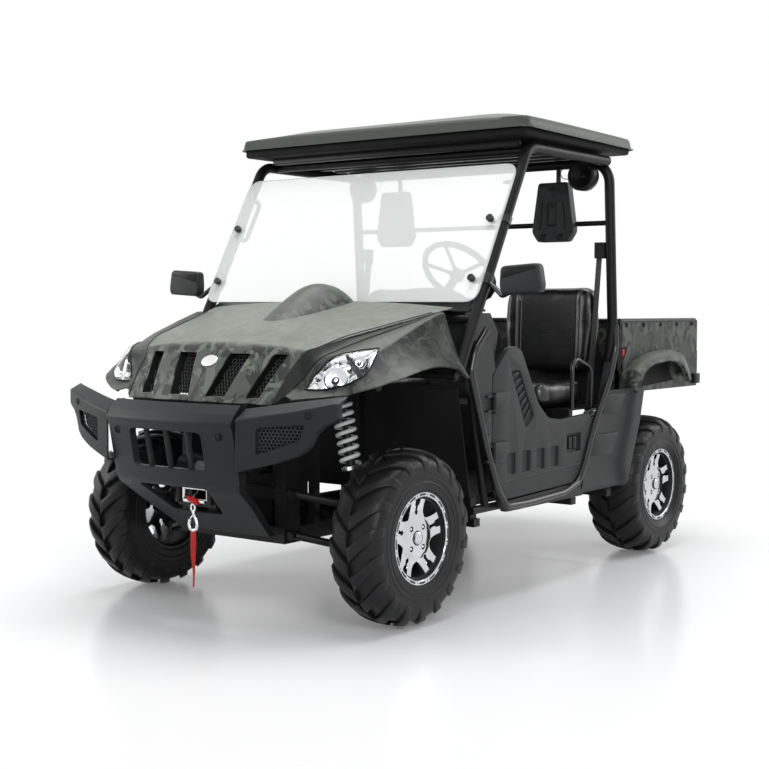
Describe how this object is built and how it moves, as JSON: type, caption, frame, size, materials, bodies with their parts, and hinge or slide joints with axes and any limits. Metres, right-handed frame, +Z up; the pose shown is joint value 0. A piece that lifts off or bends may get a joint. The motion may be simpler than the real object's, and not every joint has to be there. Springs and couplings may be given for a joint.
{
  "type": "side by side utility vehicle",
  "caption": "Two-seat off-road utility vehicle with steered front wheels, half doors, roof, windscreen, tilting cargo box, opening hood and a winch in its bumper.",
  "frame": {"origin": "on the ground below the middle of the vehicle's length and width", "axes": "+Y to the rear, +X to the driver's side, +Z up; the front bumper faces -Y"},
  "size_m": [1.904, 3.08, 1.9371],
  "materials": {
    "frame_steel": "satin",
    "cage_steel": "satin",
    "skid": "satin",
    "engine_metal": "rough",
    "cab_plastic": "textured",
    "camouflage": "gloss",
    "lamp_clear": "clear",
    "glass": "clear",
    "mesh": "matte",
    "winch_metal": "satin",
    "hook_metal": "forged",
    "strap_fabric": "woven",
    "seat_vinyl": "satin",
    "belt_fabric": "woven",
    "grip": "matte",
    "arm_steel": "satin",
    "spring_steel": "gloss",
    "drive_metal": "satin",
    "tyre_rubber": "matte",
    "rim_chrome": "polished",
    "lamp_red": "gloss"
  },
  "bodies": {
    "vehicle": {"chassis_frame": "frame_steel", "hitch_receiver": "frame_steel", "skid_plate": "skid", "engine_block": "engine_metal", "floor_pan": "cab_plastic", "side_panels": "cab_plastic", "rear_quarters": "camouflage", "front_fenders": "camouflage", "headlamps": "lamp_clear", "cowl": "camouflage", "dashboard": "cab_plastic", "bumper": "cab_plastic", "winch": "winch_metal", "winch_hook": "hook_metal", "hook_strap": "strap_fabric", "windscreen": "glass", "cage_front": "cage_steel", "cage_rear": "cage_steel", "roof": "cab_plastic", "headrests": "cab_plastic", "speakers": "cab_plastic", "mirrors": "cab_plastic", "seat_cushions": "seat_vinyl", "seat_backs": "seat_vinyl", "grab_loops": "grip", "seat_belts": "belt_fabric", "steering_column": "winch_metal", "suspension_arms": "arm_steel", "shocks": "spring_steel", "driveline": "drive_metal", "rear_knuckles": "arm_steel"},
    "knuckle_left": {"knuckle_left": "arm_steel"},
    "knuckle_right": {"knuckle_right": "arm_steel"},
    "wheel_fl": {"tyre_fl": "tyre_rubber", "rim_fl": "rim_chrome"},
    "wheel_fr": {"tyre_fr": "tyre_rubber", "rim_fr": "rim_chrome"},
    "wheel_rl": {"tyre_rl": "tyre_rubber", "rim_rl": "rim_chrome"},
    "wheel_rr": {"tyre_rr": "tyre_rubber", "rim_rr": "rim_chrome"},
    "steering_wheel": {"steering_wheel": "grip"},
    "door_left": {"door_left": "cab_plastic"},
    "door_right": {"door_right": "cab_plastic"},
    "hood": {"hood": "camouflage", "hood_grille": "mesh"},
    "cargo_bed": {"cargo_box": "camouflage", "tail_lamps": "lamp_red"},
    "tailgate": {"tailgate": "camouflage"}
  },
  "joints": [
    {"name": "steer_left", "type": "hinge", "parent": "vehicle", "child": "knuckle_left", "pos_m": [0.523, -0.955, 0.3175], "axis": [0, 0, 1], "range_deg": [-28, 28]},
    {"name": "steer_right", "type": "hinge", "parent": "vehicle", "child": "knuckle_right", "pos_m": [-0.523, -0.955, 0.3175], "axis": [0, 0, 1], "range_deg": [-28, 28]},
    {"name": "steering_wheel_turn", "type": "hinge", "parent": "vehicle", "child": "steering_wheel", "pos_m": [0.4, -0.27, 1.272], "axis": [0, 0.7431, 0.6691], "range_deg": [-252, 252]},
    {"name": "spin_fl", "type": "hinge", "parent": "knuckle_left", "child": "wheel_fl", "pos_m": [0.617, -0.955, 0.3175], "axis": [1, 0, 0], "continuous": true},
    {"name": "spin_fr", "type": "hinge", "parent": "knuckle_right", "child": "wheel_fr", "pos_m": [-0.617, -0.955, 0.3175], "axis": [1, 0, 0], "continuous": true},
    {"name": "spin_rl", "type": "hinge", "parent": "vehicle", "child": "wheel_rl", "pos_m": [0.6, 0.955, 0.3175], "axis": [1, 0, 0], "continuous": true},
    {"name": "spin_rr", "type": "hinge", "parent": "vehicle", "child": "wheel_rr", "pos_m": [-0.6, 0.955, 0.3175], "axis": [1, 0, 0], "continuous": true},
    {"name": "door_left_swing", "type": "hinge", "parent": "vehicle", "child": "door_left", "pos_m": [0.711, -0.48677, 0.6], "axis": [0, 0, -1], "range_deg": [0, 70]},
    {"name": "door_right_swing", "type": "hinge", "parent": "vehicle", "child": "door_right", "pos_m": [-0.711, -0.48677, 0.6], "axis": [0, 0, 1], "range_deg": [0, 70]},
    {"name": "hood_lift", "type": "hinge", "parent": "vehicle", "child": "hood", "pos_m": [0, -1.419, 0.772], "axis": [1, 0, 0], "range_deg": [0, 50]},
    {"name": "bed_tilt", "type": "hinge", "parent": "vehicle", "child": "cargo_bed", "pos_m": [0, 1.33, 0.722], "axis": [-1, 0, 0], "range_deg": [0, 40]},
    {"name": "tailgate_drop", "type": "hinge", "parent": "cargo_bed", "child": "tailgate", "pos_m": [0, 1.475, 0.74], "axis": [-1, 0, 0], "range_deg": [0, 90]}
  ],
  "couplings": [
    {"joint": "steer_right", "follows": "steer_left", "ratio": 1},
    {"joint": "steering_wheel_turn", "follows": "steer_left", "ratio": 9}
  ]
}
